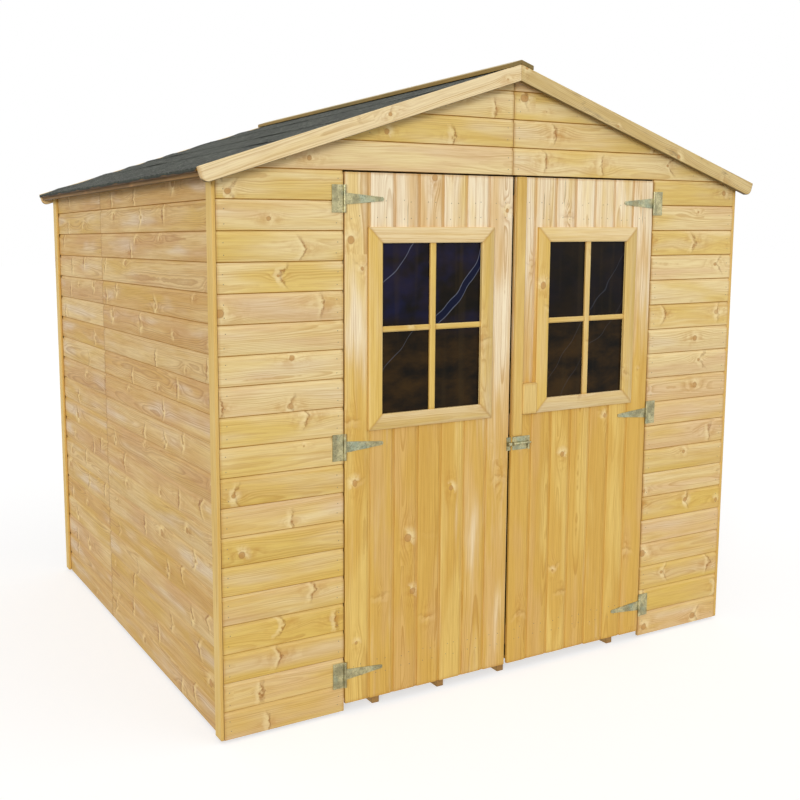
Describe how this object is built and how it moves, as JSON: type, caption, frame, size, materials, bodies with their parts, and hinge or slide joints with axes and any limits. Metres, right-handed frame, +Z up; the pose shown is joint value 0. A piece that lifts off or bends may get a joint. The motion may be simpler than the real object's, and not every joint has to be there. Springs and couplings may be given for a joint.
{
  "type": "wooden garden shed",
  "caption": "Hollow timber shed with an apex felt roof, shiplap walls, a board floor and double glazed doors that swing out and are held by a sliding bolt.",
  "frame": {"origin": "on the ground, at the centre of the plan of the roof", "axes": "+X to the right along the front wall, +Y from the doors to the back wall, +Z up"},
  "size_m": [2.37, 2.032, 2.199],
  "materials": {
    "front_cladding": "sawn and planed, pressure treated, honey yellow",
    "side_cladding": "planed, pressure treated, paler tan",
    "door_boards": "planed, pressure treated, honey yellow",
    "trim": "planed, pale",
    "framing": "sawn",
    "floor": "sawn",
    "roof_deck": "sawn",
    "felt": "mineral felt, matt",
    "galvanised": "galvanised, dull",
    "glazing": "clear sheet"
  },
  "bodies": {
    "shed": {"floor_bearers": "floor", "floor_boards": "floor", "wall_rails": "framing", "wall_studs": "framing", "gable_rafters": "framing", "ridge_beam": "framing", "front_wall_left": "front_cladding", "front_wall_right": "front_cladding", "front_gable_left": "front_cladding", "front_gable_right": "front_cladding", "back_wall_left": "side_cladding", "back_wall_right": "side_cladding", "left_wall_front": "side_cladding", "left_wall_back": "side_cladding", "right_wall_front": "side_cladding", "right_wall_back": "side_cladding", "corner_strip_front_left": "trim", "corner_strip_front_right": "trim", "corner_strip_back_left": "trim", "corner_strip_back_right": "trim", "roof_boards_left": "roof_deck", "roof_boards_right": "roof_deck", "roof_felt_left": "felt", "roof_felt_right": "felt", "eaves_batten_left": "framing", "eaves_batten_right": "framing", "bargeboard_front_left": "trim", "bargeboard_front_right": "trim", "bargeboard_back_left": "trim", "bargeboard_back_right": "trim", "ridge_cap_left": "trim", "ridge_cap_right": "trim", "hinge_plates": "galvanised"},
    "left_door": {"left_door": "door_boards", "left_door_ledges": "framing", "left_window_frame": "trim", "left_window_glass": "glazing", "left_hinge_straps": "galvanised", "bolt_keep": "galvanised"},
    "right_door": {"right_door": "door_boards", "right_door_ledges": "framing", "right_window_frame": "trim", "right_window_glass": "glazing", "cover_strip": "trim", "pull_block": "trim", "right_hinge_straps": "galvanised", "bolt_plate": "galvanised"},
    "pad_bolt": {"pad_bolt": "galvanised"}
  },
  "joints": [
    {"name": "left_door_hinge", "type": "hinge", "parent": "shed", "child": "left_door", "pos_m": [-0.675, -0.9848, 0], "axis": [0, 0, -1], "range_deg": [0, 165]},
    {"name": "right_door_hinge", "type": "hinge", "parent": "shed", "child": "right_door", "pos_m": [0.675, -0.9848, 0], "axis": [0, 0, 1], "range_deg": [0, 165]},
    {"name": "bolt_slide", "type": "slide", "parent": "right_door", "child": "pad_bolt", "axis": [-1, 0, 0], "range_m": [0, 0.026]}
  ]
}
